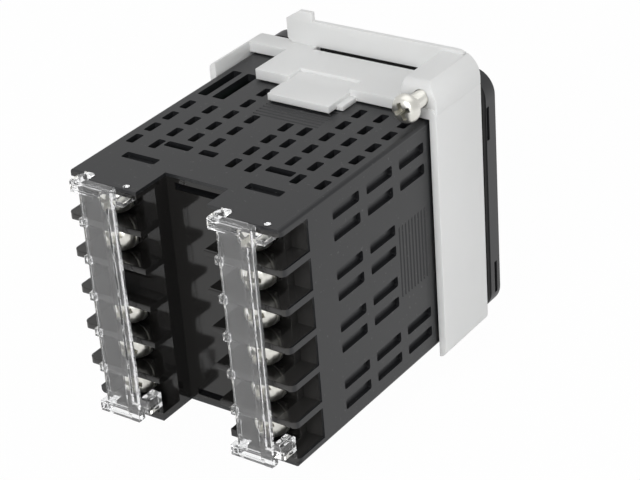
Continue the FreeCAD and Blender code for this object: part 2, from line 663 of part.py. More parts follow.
def make_washer():
    """A square washer, held captive under a terminal screw."""
    body = new_body("terminal_washer")
    half = "washer_side / 2"
    block(body, "Pad", "washer_sheet", ("-" + half, half), ("-washer_thick", "0"), ("-" + half, half))
    hole = new_sketch(body, "washer_hole", "XZ_Plane", "-washer_thick - overcut")
    polygon(hole, "0", "0", SCREW_BORE, BORE_SIDES)
    extrude(body, "Pocket", hole, "washer_thick + 2 * overcut", 1)
    return body


def make_plate():
    """A terminal plate, which fills the recess of a land."""
    body = new_body("terminal_plate")
    half = "(terminal_pitch / 2 - partition / 2 - plate_side_gap)"
    block(body, "Pad", "plate_sheet", ("plate_side_gap - recess_radius", "plate_length - recess_radius"),
          ("-plate_thick", "0"), ("-" + half, half))
    hole = new_sketch(body, "plate_hole", "XZ_Plane", "-plate_thick - overcut")
    polygon(hole, "0", "0", SCREW_BORE, BORE_SIDES)
    extrude(body, "Pocket", hole, "plate_thick + 2 * overcut", 1)
    return body


def make_cover(label, middle):
    """A clear cover: a ribbed plate with two hinge pins at one edge, two hooks and clips at the other."""
    body = new_body(label)
    inner = "(case_depth + cover_gap)"
    outer = inner + " + cover_thick"
    high = "(cover_height / 2)"
    plate = ("%s - cover_width / 2" % middle, "%s + cover_width / 2" % middle)
    bar = ("%s - cover_bar_width / 2" % middle, "%s + cover_bar_width / 2" % middle)
    block(body, "Pad", label + "_plate", plate, (inner, outer), ("-" + high, high))
    for side, name in ((-1, "_lower"), (1, "_upper")):
        ends = ("%d * (%s - cover_bar_height)" % (side, high), "%d * %s" % (side, high))
        block(body, "Pad", label + name + "_bar", bar, (inner, outer + " + cover_rib"), ends)
        web = "%d * (terminal_pitch * column_rows / 2 - partition / 2 - clip_gap)" % side
        low = "%s - %d * hook_thick" % (web, side)
        hook = ("%s - hook_width" % bar[1], bar[1])
        block(body, "Pad", label + name + "_arm", hook,
              ("case_depth - hook_notch + clip_gap", outer), (low, "%d * %s" % (side, high)))
        block(body, "Pad", label + name + "_barb", hook,
              ("case_depth - hook_reach", "case_depth - hook_notch + clip_gap"), (low, web))
        pin_x = PIN_X % middle
        knuckle = ("%s - knuckle_width / 2" % pin_x, "%s + knuckle_width / 2" % pin_x)
        low = "%s - %d * knuckle_thick" % (web, side)
        block(body, "Pad", label + name + "_link", (knuckle[0], plate[0] + " + cover_rib"), (inner, outer),
              (low, web))
        block(body, "Pad", label + name + "_knuckle", knuckle,
              ("case_depth - pin_inset - knuckle_width / 2", inner), (low, web))
        pin = new_sketch(body, label + name + "_pin", "XY_Plane", low)
        polygon(pin, pin_x, "case_depth - pin_inset", "pin_dia / 2", BORE_SIDES)
        extrude(body, "Pad", pin, "%d * (%d * rear_height / 2 - (%s)) - pin_short" % (side, side, low), side)
    block(body, "Pad", label + "_rib", (plate[0] + " + cover_rib", plate[0] + " + 3 * cover_rib"),
          (outer, outer + " + cover_rib"), ("cover_bar_height - " + high, high + " - cover_bar_height"))
    clips = new_sketch(body, label + "_clips", "XZ_Plane", "case_depth - clip_reach")
    for height in rows("terminal_pitch", len(TERMINAL_ROWS) - 1):
        for side in (-1, 1):
            near = "%s + %d * (partition / 2 + clip_gap)" % (height, side)
            rectangle(clips, plate[1] + " - clip_width", plate[1], near, "%s + %d * clip_wall" % (near, side))
    extrude(body, "Pad", clips, "clip_reach + cover_gap", 1)
    return body


def make_adapter():
    """The adapter: a sleeve round the case, with two screw blocks, upright walls, tabs and ratchet tongues.

    Everything on its upper side is there again on the lower side, turned by half a turn about Y.
    """
    body = new_body("mounting_adapter")
    half, tall = "adapter_width / 2", "(adapter_height / 2)"
    inner = "(%s + adapter_gap)" % CASE_HALF
    root = tall + " - overcut"
    block(body, "Pad", "sleeve", ("-" + half, half), ("adapter_start", "adapter_end"), ("-" + tall, tall))
    soften(body, "Fillet", "sleeve_corners", "adapter_corner", lambda edge: runs_along(edge, Y_AXIS))
    block(body, "Pocket", "sleeve_opening", ("-" + inner, inner),
          ("adapter_start - overcut", "adapter_end + overcut"), ("-" + inner, inner))
    beyond = ("%s - overcut" % inner, tall + " + overcut")
    step = block(body, "Pocket", "plate_step", ("adapter_step_x", inner),
                 ("adapter_step", "adapter_end + overcut"), beyond)
    back = block(body, "Pocket", "plate_back", ("-block_right", "adapter_step_x"),
                 ("plate_end", "adapter_end + overcut"), beyond)
    half_turn(body, "lower_plate", [step, back])
    wall = new_sketch(body, "upright_wall", "XZ_Plane", "adapter_start")
    outline(wall, [
        ("-" + half, root), ("tab_reach - tab_slope", root), ("tab_reach", root + " + tab_slope"),
        ("tab_reach", "tab_top - tab_slope"), ("tab_reach - 1.6 * tab_slope", "tab_top"),
        ("flange_right", "tab_top"), ("flange_right", "flange_top"),
        ("flange_round - " + half, "flange_top"), ("-" + half, "flange_top - flange_round")])
    upright = extrude(body, "Pad", wall, "flange_thick", 1)
    lump = block(body, "Pad", "screw_block", ("-" + half, "-block_right"),
                 ("adapter_start", "adapter_end - block_back"), (root, "block_top"))
    thick_root = block(body, "Pad", "thick_root", ("-root_right", "root_left"),
                       ("plate_end - overcut", "root_end"), ("%s + pawl_gap" % CASE_HALF, "root_top"))
    tongue = block(body, "Pad", "tongue", ("-tongue_right", "tongue_left"),
                   ("plate_end - overcut", "tongue_end"), ("tongue_under", "tongue_top"))
    half_turn(body, "lower_side", [upright, lump, thick_root, tongue])
    slot = block(body, "Pocket", "wall_slot", ("-slot_left", "slot_right"),
                 ("adapter_start - overcut", "adapter_start + flange_thick + slot_width"),
                 (beyond[0], tall))
    dip = block(body, "Pocket", "plate_dip", ("-tongue_right", "tongue_left"),
                ("dip_start", "tongue_end + overcut"), ("tongue_top", beyond[1]))
    hole = new_sketch(body, "clamp_hole", "XZ_Plane", "adapter_start - overcut")
    polygon(hole, "-clamp_x", "clamp_z", SCREW_BORE, BORE_SIDES)
    bore = extrude(body, "Pocket", hole, "adapter_end - adapter_start + 2 * overcut", 1)
    half_turn(body, "lower_cuts", [slot, dip, bore])
    return body


def make_board(label, across, along, up):
    """A bare circuit board."""
    body = new_body(label)
    block(body, "Pad", label + "_sheet", across, along, up)
    return body


def make_boxes(label, boxes):
    """Plain component bodies on a board, one node."""
    body = new_body(label)
    for number, (across, along, up) in enumerate(boxes, start=1):
        block(body, "Pad", "%s_%d" % (label, number), across, along, up)
    return body


def place(body, across, along, up):
    """Seat a body by a bound position."""
    for axis, text in (("x", across), ("y", along), ("z", up)):
        body.setExpression("Placement.Base." + axis, bound(text))


KEY_NAMES = ["key_mode", "key_shift", "key_down", "key_up"]
KEY_PLACES = rows("key_pitch", len(KEY_NAMES))
BOARD_BACK = "skirt_length + board_thick"
SIDE_BOARD_START = BOARD_BACK + " + board_end_gap"
SIDE_BOARD_END = "case_depth - block_depth - board_end_gap"
MODULE_X = ("-module_width / 2", "module_width / 2")
MODULE_Z = ("window_middle - module_height / 2", "window_middle + module_height / 2")

nodes = [make_case(), make_bezel(), make_window(), make_gasket(), make_adapter()]
nodes += [make_key(label, key_place) for label, key_place in zip(KEY_NAMES, KEY_PLACES)]
nodes.append(make_board("front_board", ("-front_board_side / 2", "front_board_side / 2"),
                        ("skirt_length", BOARD_BACK), ("-front_board_side / 2", "front_board_side / 2")))
nodes.append(make_board("display_module", MODULE_X, ("bezel_wall - bezel_depth + module_gap", "skirt_length"),
                        MODULE_Z))
SIDE_BOARD_Z = ("-side_board_height / 2", "side_board_height / 2")
nodes.append(make_board("main_board", ("main_board_x", "main_board_x + board_thick"),
                        (SIDE_BOARD_START, SIDE_BOARD_END), SIDE_BOARD_Z))
nodes.append(make_board("power_board", ("-main_board_x - board_thick", "-main_board_x"),
                        (SIDE_BOARD_START, SIDE_BOARD_END), SIDE_BOARD_Z))
nodes.append(make_boxes("board_connectors", [
    (("main_board_x - connector_side", "main_board_x"), (BOARD_BACK, BOARD_BACK + " + connector_side"),
     ("-connector_length / 2", "connector_length / 2")),
    (("-main_board_x", "connector_side - main_board_x"), (BOARD_BACK, BOARD_BACK + " + connector_side"),
     ("-connector_length / 2", "connector_length / 2"))]))
nodes.append(make_boxes("transformer", [
    (("-main_board_x", "transformer_width - main_board_x"),
     ("component_start", "component_start + transformer_depth"),
     ("-transformer_height / 2", "transformer_height / 2"))]))
nodes.append(make_boxes("relay", [
    (("main_board_x - relay_width", "main_board_x"), ("component_start", "component_start + relay_depth"),
     ("-relay_height / 2", "relay_height / 2"))]))

capacitor = new_body("capacitor")
can = new_sketch(capacitor, "can", "YZ_Plane", "0")
polygon(can, "0", "0", "cap_dia / 2", HEAD_SIDES)
extrude(capacitor, "Pad", can, "cap_length", -1)
switch = make_switch()
washer = make_washer()
plate = make_plate()
screw = make_screw("terminal_screw", "head_dia", "head_height",
                   "plate_thick + washer_thick + thread_depth - thread_spare")
covers = [make_cover("left_terminal_cover", "cover_middle"),
          make_cover("right_terminal_cover", "-right_cover_middle")]
clamps = [make_screw("clamp_screw_" + name, "clamp_head_dia", "clamp_head_height", "clamp_length")
          for name in ("upper", "lower")]
for clamp, side in zip(clamps, (-1, 1)):
    place(clamp, "%d * clamp_x" % side, "adapter_end - block_back + clamp_stand", "%d * clamp_z" % -side)
nodes += covers + clamps
doc.recompute()

# Groups of like pieces: copies of one master in one node
head_seat = size("case_depth") - size("recess_floor") + size("plate_thick") + size("washer_thick")
spots = [(side * size("screw_x"), row_height(row)) for side, row in SCREW_PLACES]
key_steps = [size("key_pitch") * (number - (len(KEY_NAMES) - 1) / 2) for number in range(len(KEY_NAMES))]
nodes.append(group("terminal_screws", screw, [(x, head_seat, z) for x, z in spots]))
nodes.append(group("terminal_washers", washer, [(x, head_seat, z) for x, z in spots]))
nodes.append(group("terminal_plates", plate,
                   [(x, head_seat - size("washer_thick"), z) for x, z in spots]))
nodes.append(group("tact_switches", switch,
                   [(x, size("skirt_length"), size("key_middle")) for x in key_steps]))
cap_row = size("component_start") + size("transformer_depth") + size("cap_dia")
nodes.append(group("capacitors", capacitor, [
    (-size("main_board_x"), cap_row, side)
    for side in (-size("cap_dia"), size("cap_dia"))]))
doc.recompute()

for item in doc.Objects:
    if "Invalid" in item.State or "Error" in item.State:
        raise RuntimeError("%s failed: %s" % (item.Name, item.State))

os.makedirs("parts", exist_ok=True)
for node in nodes:
    shape = node.Shape
    if shape.isNull() or not shape.isValid():
        raise RuntimeError("%s has no valid shape" % node.Label)
    shape.exportStep("parts/%s.step" % node.Label)
    box = shape.BoundBox
    print("%-22s solids %2d  volume %9.1f  x %6.2f %6.2f  y %6.2f %6.2f  z %6.2f %6.2f" % (
        node.Label, len(shape.Solids), shape.Volume, box.XMin, box.XMax, box.YMin, box.YMax, box.ZMin,
        box.ZMax))
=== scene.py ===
import json
import math

import bmesh
import bpy
from mathutils import Matrix, Vector


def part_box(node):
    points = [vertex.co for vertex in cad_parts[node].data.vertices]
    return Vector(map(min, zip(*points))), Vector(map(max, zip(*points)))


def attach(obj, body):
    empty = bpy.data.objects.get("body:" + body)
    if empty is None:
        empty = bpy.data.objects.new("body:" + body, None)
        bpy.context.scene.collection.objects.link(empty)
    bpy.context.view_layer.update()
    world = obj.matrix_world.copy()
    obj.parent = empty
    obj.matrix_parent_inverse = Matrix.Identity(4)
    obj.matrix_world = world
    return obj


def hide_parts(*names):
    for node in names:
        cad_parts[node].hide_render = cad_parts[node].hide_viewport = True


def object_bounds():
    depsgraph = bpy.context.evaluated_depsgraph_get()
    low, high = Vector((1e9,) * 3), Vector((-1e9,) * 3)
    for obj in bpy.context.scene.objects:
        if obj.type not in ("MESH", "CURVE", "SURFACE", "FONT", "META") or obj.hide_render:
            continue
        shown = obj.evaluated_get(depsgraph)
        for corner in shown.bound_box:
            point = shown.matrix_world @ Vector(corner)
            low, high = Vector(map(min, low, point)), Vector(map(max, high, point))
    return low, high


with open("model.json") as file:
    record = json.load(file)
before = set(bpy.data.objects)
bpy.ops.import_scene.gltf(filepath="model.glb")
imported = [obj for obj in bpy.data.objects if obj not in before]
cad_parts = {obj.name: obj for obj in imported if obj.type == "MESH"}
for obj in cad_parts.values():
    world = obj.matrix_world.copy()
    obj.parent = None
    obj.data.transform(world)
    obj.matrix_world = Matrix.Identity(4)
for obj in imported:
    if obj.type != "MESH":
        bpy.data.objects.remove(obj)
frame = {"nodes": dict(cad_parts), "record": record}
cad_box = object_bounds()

# The studio: a long lens looks down on the back of the controller from its left rear corner. A pale floor lies
# under it, and three soft boxes stand round it in a white room, which gloss and glass see as it is.
MM = 0.001
scene = bpy.context.scene
scene.view_settings.view_transform = "Standard"
view_azimuth, view_elevation, view_roll = math.radians(216.29), math.radians(28.62), math.radians(-4.42)
camera_place = Vector((-186.70, 273.82, 167.28)) * MM
camera_lens = bpy.data.cameras.new("camera")
camera_lens.sensor_width = 36
camera_lens.lens = 111.76
camera = bpy.data.objects.new("camera", camera_lens)
camera.matrix_world = (
    Matrix.Translation(camera_place)
    @ Matrix.Rotation(view_azimuth, 4, "Z")
    @ Matrix.Rotation(math.pi / 2 - view_elevation, 4, "X")
    @ Matrix.Rotation(view_roll, 4, "Z"))
scene.collection.objects.link(camera)
scene.camera = camera


class Value:
    """A node's output that Python's operators join with Math nodes."""

    def __init__(self, finish, socket):
        self.finish = finish
        self.socket = socket

    def math(self, operation, *others):
        values = {place: other for place, other in enumerate((self,) + others)}
        return self.finish.node("ShaderNodeMath", {"operation": operation}, values)

    def __add__(self, other):
        return self.math("ADD", other)

    __radd__ = __add__

    def __mul__(self, other):
        return self.math("MULTIPLY", other)

    __rmul__ = __mul__

    def __sub__(self, other):
        return self.math("SUBTRACT", other)

    def __rsub__(self, other):
        return (self * -1).math("ADD", other)

    def __lt__(self, other):
        return self.math("LESS_THAN", other)

    def __gt__(self, other):
        return self.math("GREATER_THAN", other)

    def __abs__(self):
        return self.math("ABSOLUTE")


class Finish:
    """One material: a Principled shader, and one method that makes every other node of it."""

    def __init__(self, name, **plain):
        self.material = bpy.data.materials.new(name)
        self.material.use_nodes = True
        self.tree = self.material.node_tree
        self.shader = next(node for node in self.tree.nodes if node.type == "BSDF_PRINCIPLED")
        self.output = next(node for node in self.tree.nodes if node.type == "OUTPUT_MATERIAL")
        for label, value in plain.items():
            self.shader.inputs[label.replace("_", " ")].default_value = value

    def node(self, kind, settings, values, output=0):
        made = self.tree.nodes.new(kind)
        for label, value in settings.items():
            setattr(made, label, value)
        for place, value in values.items():
            self.feed(made.inputs[place], value)
        return Value(self, made.outputs[output])

    def feed(self, socket, value):
        if isinstance(value, Value):
            self.tree.links.new(value.socket, socket)
        else:
            socket.default_value = value

    def drive(self, label, value):
        self.feed(self.shader.inputs[label], value)

    def place(self):
        return self.node("ShaderNodeTexCoord", {}, {}, "Object")

    def along(self, axis):
        return self.node("ShaderNodeSeparateXYZ", {}, {0: self.place()}, axis)

    def noise(self, scale, detail=2.0, roughness=0.5):
        values = {"Vector": self.place(), "Scale": scale, "Detail": detail, "Roughness": roughness}
        return self.node("ShaderNodeTexNoise", {}, values)

    def blend(self, factor, first, second):
        settings = {"data_type": "RGBA"}
        return self.node("ShaderNodeMix", settings, {0: factor, 6: (*first, 1), 7: (*second, 1)}, 2)

    def bump(self, height, depth, strength=1.0):
        values = {"Strength": strength, "Distance": depth, "Height": height}
        self.drive("Normal", self.node("ShaderNodeBump", {}, values))


lamp_aim = Vector((0, 0.02, 0))


def soft_box(name, place, width, height, power, mirrored=True):
    """A rectangular lamp that faces the middle of the object."""
    lamp = bpy.data.lights.new(name, "AREA")
    lamp.shape = "RECTANGLE"
    lamp.size, lamp.size_y = width, height
    lamp.energy = power
    holder = bpy.data.objects.new(name, lamp)
    holder.location = place
    holder.rotation_euler = (lamp_aim - Vector(place)).to_track_quat("-Z", "Y").to_euler()
    holder.visible_glossy = mirrored
    scene.collection.objects.link(holder)


soft_box("overhead_box", (0.05, 0.0, 0.6), 0.7, 0.7, 0.9)
soft_box("side_box", (-0.6, -0.1, 0.2), 0.6, 0.5, 1.3, False)
soft_box("rear_box", (-0.1, 0.65, 0.3), 0.3, 0.3, 2.5)

room_light, room_shown, room_mirrored = 0.38, 0.62, 0.26
studio = bpy.data.worlds.new("studio")
studio.use_nodes = True
studio_air = studio.node_tree.nodes["Background"]
studio_air.inputs["Color"].default_value = (1, 1, 1, 1)
studio_ray = studio.node_tree.nodes.new("ShaderNodeLightPath")
sum_of_rays = studio_air.inputs["Strength"]
for label, share in (
        ("Is Camera Ray", room_shown), ("Is Transmission Ray", room_shown), ("Is Glossy Ray", room_mirrored)):
    add = studio.node_tree.nodes.new("ShaderNodeMath")
    add.operation = "MULTIPLY_ADD"
    add.inputs[1].default_value = share
    add.inputs[2].default_value = room_light
    studio.node_tree.links.new(studio_ray.outputs[label], add.inputs[0])
    studio.node_tree.links.new(add.outputs[0], sum_of_rays)
    sum_of_rays = add.inputs[2]
studio.cycles.sampling_method = "NONE"
scene.world = studio

floor_span = 6.0
floor_height = cad_box[0][2]
floor_mesh = bpy.data.meshes.new("floor")
floor_corners = [
    (sx * floor_span, sy * floor_span, floor_height) for sx, sy in ((-1, -1), (1, -1), (1, 1), (-1, 1))]
floor_mesh.from_pydata(floor_corners, [], [(0, 1, 2, 3)])
floor = bpy.data.objects.new("floor", floor_mesh)
scene.collection.objects.link(floor)
white_paper = Finish("white_paper", Base_Color=(0.84, 0.84, 0.84, 1), Roughness=0.9)
white_paper.drive("Roughness", white_paper.noise(40) * 0.1 + 0.85)
camera_ray, glossy_ray, clear_ray = (white_paper.node("ShaderNodeLightPath", {}, {}, label) for label in (
    "Is Camera Ray", "Is Glossy Ray", "Is Transmission Ray"))
paper_shown, paper_mirrored = 0.98, 0.55
glow = white_paper.node("ShaderNodeEmission", {}, {"Color": (1, 1, 1, 1), "Strength": 1.0})
paper = Value(white_paper, white_paper.shader.outputs[0])
seen = white_paper.node("ShaderNodeMixShader", {}, {
    0: (camera_ray + clear_ray) * paper_shown + glossy_ray * paper_mirrored, 1: paper, 2: glow})
white_paper.feed(white_paper.output.inputs["Surface"], seen)
floor_mesh.materials.append(white_paper.material)

# The rear case is one black ABS moulding with the terminal columns at its back. Its outside has the fine grain of
# an etched mould, and the terminal bays were left polished. Every outer edge is slightly rounded, the corners of
# the webs more so, and a blank place carries two ribs where the other places have a plate.
case_black = Finish("case_black", Specular_IOR_Level=0.5)
web_pitch, half_case, bay_half_width, bay_half_height, bay_floor = 7.13, 22.4, 21.7, 21.6, 51.9
screw_land, speck_level = 18.4, 0.735
x, y, z = (case_black.along(axis) for axis in "XYZ")
inside = (abs(x) < bay_half_width * MM) * (abs(z) < bay_half_height * MM) * (y > bay_floor * MM)
grain = case_black.noise(6500, 3, 0.6)
broad = case_black.noise(90, 3, 0.55)
specks = (case_black.noise(1500, 1) > speck_level) * 0.5
tint = case_black.blend(broad, (0.0105, 0.011, 0.0125), (0.0155, 0.016, 0.0175))
dust = (0.09, 0.09, 0.09, 1)
dusty = case_black.node("ShaderNodeMix", {"data_type": "RGBA"}, {0: specks, 6: tint, 7: dust}, 2)
# Painted light: in the bays, the channels beyond the screw lands get a lighter colour that stands in for the
# light they catch. The rest of each bay keeps the plain polished black.
bay_tone_with_painted_light = case_black.blend(abs(x) > screw_land * MM, (0.011, 0.0105, 0.010), (0.03, 0.029, 0.028))
case_black.drive("Base Color", case_black.node(
    "ShaderNodeMix", {"data_type": "RGBA"}, {0: inside, 6: dusty, 7: bay_tone_with_painted_light}, 2))
case_black.drive("Roughness", (1 - inside) * (0.3 + broad * 0.1) + inside * 0.1)
case_black.bump(grain * (1 - inside), 0.02 * MM, 0.35)


def add_block(form, across, along, height):
    """A rectangular block, given by its extent on each axis in millimetres."""
    middle = [(low + high) / 2 * MM for low, high in (across, along, height)]
    size = [(high - low) * MM for low, high in (across, along, height)]
    made = bmesh.ops.create_cube(form, size=1, matrix=Matrix.Translation(middle) @ Matrix.Diagonal((*size, 1)))
    return made["verts"]


def edges_where(form, wanted):
    """The edges whose two ends, in millimetres, pass a test."""
    return [edge for edge in form.edges if wanted(edge.verts[0].co / MM, edge.verts[1].co / MM)]


def runs(first, second, axis):
    """Whether an edge runs along one axis."""
    return all(abs(first[other] - second[other]) < 0.01 for other in range(3) if other != axis)


def rounded_copy(node, radius, steps=2, softer=(), additions=(), crisp=None):
    """A CAD node's form with its sharp edges rounded, as a mould leaves them, some more and some not at all."""
    form = bmesh.new()
    form.from_mesh(frame["nodes"][node].data)
    bmesh.ops.remove_doubles(form, verts=form.verts, dist=1e-7)
    bmesh.ops.dissolve_limit(form, angle_limit=math.radians(1), verts=form.verts, edges=form.edges)
    for wanted, larger, turns in softer:
        bmesh.ops.bevel(form, geom=edges_where(form, wanted), offset=larger * MM, segments=turns,
                        profile=0.5, affect="EDGES", clamp_overlap=False)
    for extents in additions:
        add_block(form, *extents)
    weight = form.edges.layers.float.new("bevel_weight_edge")
    left_sharp = set(edges_where(form, crisp)) if crisp else set()
    for edge in form.edges:
        edge[weight] = edge not in left_sharp and edge.calc_face_angle(0) > math.radians(35)
    mesh = bpy.data.meshes.new(node + "_form")
    form.to_mesh(mesh)
    form.free()
    mesh.materials.clear()
    piece = bpy.data.objects.new(node + "_moulding", mesh)
    scene.collection.objects.link(piece)
    return round_edges(piece, radius * MM, steps, "WEIGHT")


def round_edges(piece, radius, steps=2, chosen_by="ANGLE"):
    """Rounds the sharp edges of a piece."""
    edges = piece.modifiers.new("edges", "BEVEL")
    edges.width = radius
    edges.segments = steps
    edges.limit_method = chosen_by
    edges.angle_limit = math.radians(35)
    return settled(piece)


def settled(piece):
    """The piece with its modifiers worked into its mesh."""
    view = bpy.context.evaluated_depsgraph_get()
    finished = bpy.data.meshes.new_from_object(piece.evaluated_get(view))
    piece.modifiers.clear()
    piece.data = finished
    return piece


def dress(node, finish):
    """A CAD node keeps its form and gets its finish."""
    shown = frame["nodes"][node]
    shown.data.materials.clear()
    shown.data.materials.append(finish.material)


def body_of(node):
    """The moving body that a CAD node belongs to."""
    bodies = frame["record"]["behaviour"]["bodies"]
    return next(body for body, members in bodies.items() if node in members)


def belong(piece, node, finish):
    """The piece moves with a CAD node's body and takes the finish."""
    piece.data.materials.clear()
    piece.data.materials.append(finish.material)
    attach(piece, body_of(node))


def stand_for(piece, node, finish):
    """The piece takes a CAD node's place."""
    belong(piece, node, finish)
    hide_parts(node)


# Limits of place, in millimetres, by which an edge of the case is told from the others.
short_edge, web_rear, side_skin, tooth_start, tooth_end, tooth_reach = 3, 59.5, 21.5, 17.5, 27.5, 7.2


def is_web_corner(first, second):
    """A short upright edge at the outer rear end of a web."""
    return (runs(first, second, 2) and abs(first.x) > 22 and first.y > web_rear
            and abs(first.z - second.z) < short_edge)


def is_web_edge(first, second):
    """A long edge along the rear of a web."""
    return (runs(first, second, 0) and min(first.y, second.y) > web_rear and abs(first.z) < 20
            and abs(first.x - second.x) > 2)


def is_vent_corner(first, second):
    """A short edge through the wall, in the corner of a vent in the top or bottom."""
    return (runs(first, second, 2) and min(abs(first.z), abs(second.z)) > 20.5
            and abs(first.x) < side_skin and first.y < 51 and abs(first.z - second.z) < short_edge)


def is_pocket_corner(first, second):
    """An edge through the wall, in the corner of a louvre pocket in either side."""
    return (runs(first, second, 0) and min(abs(first.x), abs(second.x)) > 21 and first.y < 50
            and abs(first.z) < 20.5)


def is_tooth(first, second):
    """An edge of the ratchet teeth, near the middle of a side."""
    outermost = max(abs(first.x), abs(first.z))
    nearest = min(max(abs(first.x), abs(second.x)), max(abs(first.z), abs(second.z)))
    return (outermost > side_skin and tooth_start < min(first.y, second.y)
            and max(first.y, second.y) < tooth_end and nearest < tooth_reach)


channel_walls = [((21.3, half_case - 0.02), (52.4, 56.0), (row * web_pitch - 3, row * web_pitch + 3))
                 for row in (-2.5, -1.5, -0.5, 0.5, 1.5, 2.5)]
blank_ribs = [((9.2, 18.4), (55.2, 55.8), (height, height + 0.45)) for height in (4.4, 2.7)]
softer_edges = (
    (is_web_corner, 1.1, 5), (is_web_edge, 0.4, 3), (is_vent_corner, 0.3, 2), (is_pocket_corner, 0.35, 2))
case = rounded_copy("rear_case", 0.16, 2, softer_edges, channel_walls + blank_ribs, is_tooth)
stand_for(case, "rear_case", case_black)

# The front bezel is moulded from the same black ABS with a softer sheen, and clips over the front of the case.
# Its flange is seen behind the adapter.
bezel_black = Finish("bezel_black", Specular_IOR_Level=0.5)
bezel_tone = bezel_black.noise(70)
bezel_black.drive("Base Color", bezel_black.blend(bezel_tone, (0.018, 0.0185, 0.02), (0.024, 0.0245, 0.026)))
bezel_black.drive("Roughness", 0.34 + bezel_black.noise(40) * 0.1)
bezel_black.bump(bezel_black.noise(5200, 2, 0.5), 0.02 * MM, 0.3)
dress("front_bezel", bezel_black)

# The panel gasket is a ring cut from matt black rubber sheet. It lies behind the bezel's flange and is squeezed
# against the panel.
gasket_rubber = Finish("gasket_rubber")
gasket_rubber.drive("Base Color", gasket_rubber.blend(
    gasket_rubber.noise(500), (0.006, 0.006, 0.006), (0.012, 0.012, 0.012)))
gasket_rubber.drive("Roughness", 0.75 + gasket_rubber.noise(300) * 0.15)
gasket_rubber.bump(gasket_rubber.noise(2400), 0.03 * MM, 0.4)
dress("panel_gasket", gasket_rubber)

# The window is a smoked acrylic lens glued into the bezel. Two rows of unlit seven-segment digits stand behind it
# on the numeral block, each segment a pale moulded bar with pointed ends.
window_smoke = Finish("window_smoke", Roughness=0.05, IOR=1.49, Transmission_Weight=0.85)
window_smoke.drive("Base Color", window_smoke.blend(
    window_smoke.noise(60), (0.1, 0.1, 0.11), (0.12, 0.12, 0.13)))
window_smoke.bump(window_smoke.noise(120), 0.01 * MM, 0.08)
dress("display_window", window_smoke)
segment_white = Finish("segment_white", Roughness=0.5)
segment_white.drive("Base Color", segment_white.blend(
    segment_white.noise(900), (0.5, 0.49, 0.46), (0.56, 0.55, 0.52)))
module_low, module_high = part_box("display_module")
segment_form = bmesh.new()
segment_face = module_low[1] / MM


def add_loft(form, near, far):
    """A closed form between two outlines of the same points, in millimetres."""
    rims = [[form.verts.new([value * MM for value in point]) for point in outline] for outline in (near, far)]
    form.faces.new(rims[0])
    form.faces.new(rims[1])
    for place in range(len(near)):
        following = (place + 1) % len(near)
        form.faces.new((rims[0][place], rims[0][following], rims[1][following], rims[1][place]))


def object_from(form, name):
    """An object with the form as its mesh, its faces turned outwards."""
    bmesh.ops.recalc_face_normals(form, faces=form.faces)
    mesh = bpy.data.meshes.new(name)
    form.to_mesh(mesh)
    form.free()
    piece = bpy.data.objects.new(name, mesh)
    scene.collection.objects.link(piece)
    return piece


segment_depth = 0.06
digit_segments = [(0, level, False) for level in (1, 0, -1)] + [
    (side, level, True) for level in (0.5, -0.5) for side in (-1, 1)]
module_middle = (module_low[2] + module_high[2]) / 2 / MM
for row_height, digit_height in ((4.6, 7.6), (-6.2, 5.4)):
    stroke = digit_height * 0.12
    arm = digit_height / 2 - stroke * 0.2
    reach = arm * 0.46
    bar = [(-reach, 0), (-reach + stroke / 2, stroke / 2), (reach - stroke / 2, stroke / 2),
           (reach, 0), (reach - stroke / 2, -stroke / 2), (-reach + stroke / 2, -stroke / 2)]
    for place in range(4):
        for step_x, step_z, upright in digit_segments:
            middle_x = (place - 1.5) * digit_height + step_x * arm * 0.52
            middle_z = module_middle + row_height + step_z * arm
            outline = [(middle_x + (b if upright else a), middle_z + (a if upright else b)) for a, b in bar]
            add_loft(segment_form, *([(a, segment_face + depth, b) for a, b in outline]
                                     for depth in (-segment_depth, segment_depth)))
segments = object_from(segment_form, "numeral_segments")
belong(segments, "display_module", segment_white)

# Four grey key caps, finely grained, are pushed through the bezel from behind. Each carries a printed mark: a
# dot, an arrow to the side, an arrow down and an arrow up.
key_grey = Finish("key_grey")
key_grey.drive("Base Color", key_grey.blend(key_grey.noise(300), (0.05, 0.052, 0.058), (0.065, 0.067, 0.072)))
key_grey.drive("Roughness", 0.45 + key_grey.noise(900) * 0.1)
key_grey.bump(key_grey.noise(5000), 0.02 * MM, 0.3)
key_print = Finish("key_print", Roughness=0.55)
key_print.drive("Base Color", key_print.blend(key_print.noise(2500), (0.6, 0.6, 0.6), (0.68, 0.68, 0.68)))
mark_proud, mark_depth = 0.03, 0.09
key_marks = {"key_mode": (16, 0.0), "key_shift": (3, 0.5), "key_down": (3, 0.75), "key_up": (3, 0.25)}
for key, (corner_count, turn) in key_marks.items():
    dress(key, key_grey)
    key_low, key_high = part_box(key)
    mark_form = bmesh.new()
    key_x, key_z = ((key_low[axis] + key_high[axis]) / 2 / MM for axis in (0, 2))
    circle = [math.tau * (turn + corner / corner_count) for corner in range(corner_count)]
    add_loft(mark_form, *([(key_x + math.cos(angle), key_low[1] / MM + depth, key_z + math.sin(angle))
                           for angle in circle] for depth in (-mark_proud, mark_depth)))
    mark_piece = object_from(mark_form, key + "_mark")
    belong(mark_piece, key, key_print)

# Three glass-fibre boards with green solder mask carry the parts that show dimly through the vents. They slide
# into grooves of the case.
board_green = Finish("board_green", Specular_IOR_Level=0.6)
weave = board_green.noise(2200, 1)
board_green.drive("Base Color", board_green.blend(
    board_green.noise(400), (0.03, 0.19, 0.075), (0.045, 0.26, 0.11)))
board_green.drive("Roughness", 0.28 + weave * 0.15)
board_green.bump(weave, 0.01 * MM, 0.3)
for node in ("front_board", "main_board", "power_board"):
    dress(node, board_green)

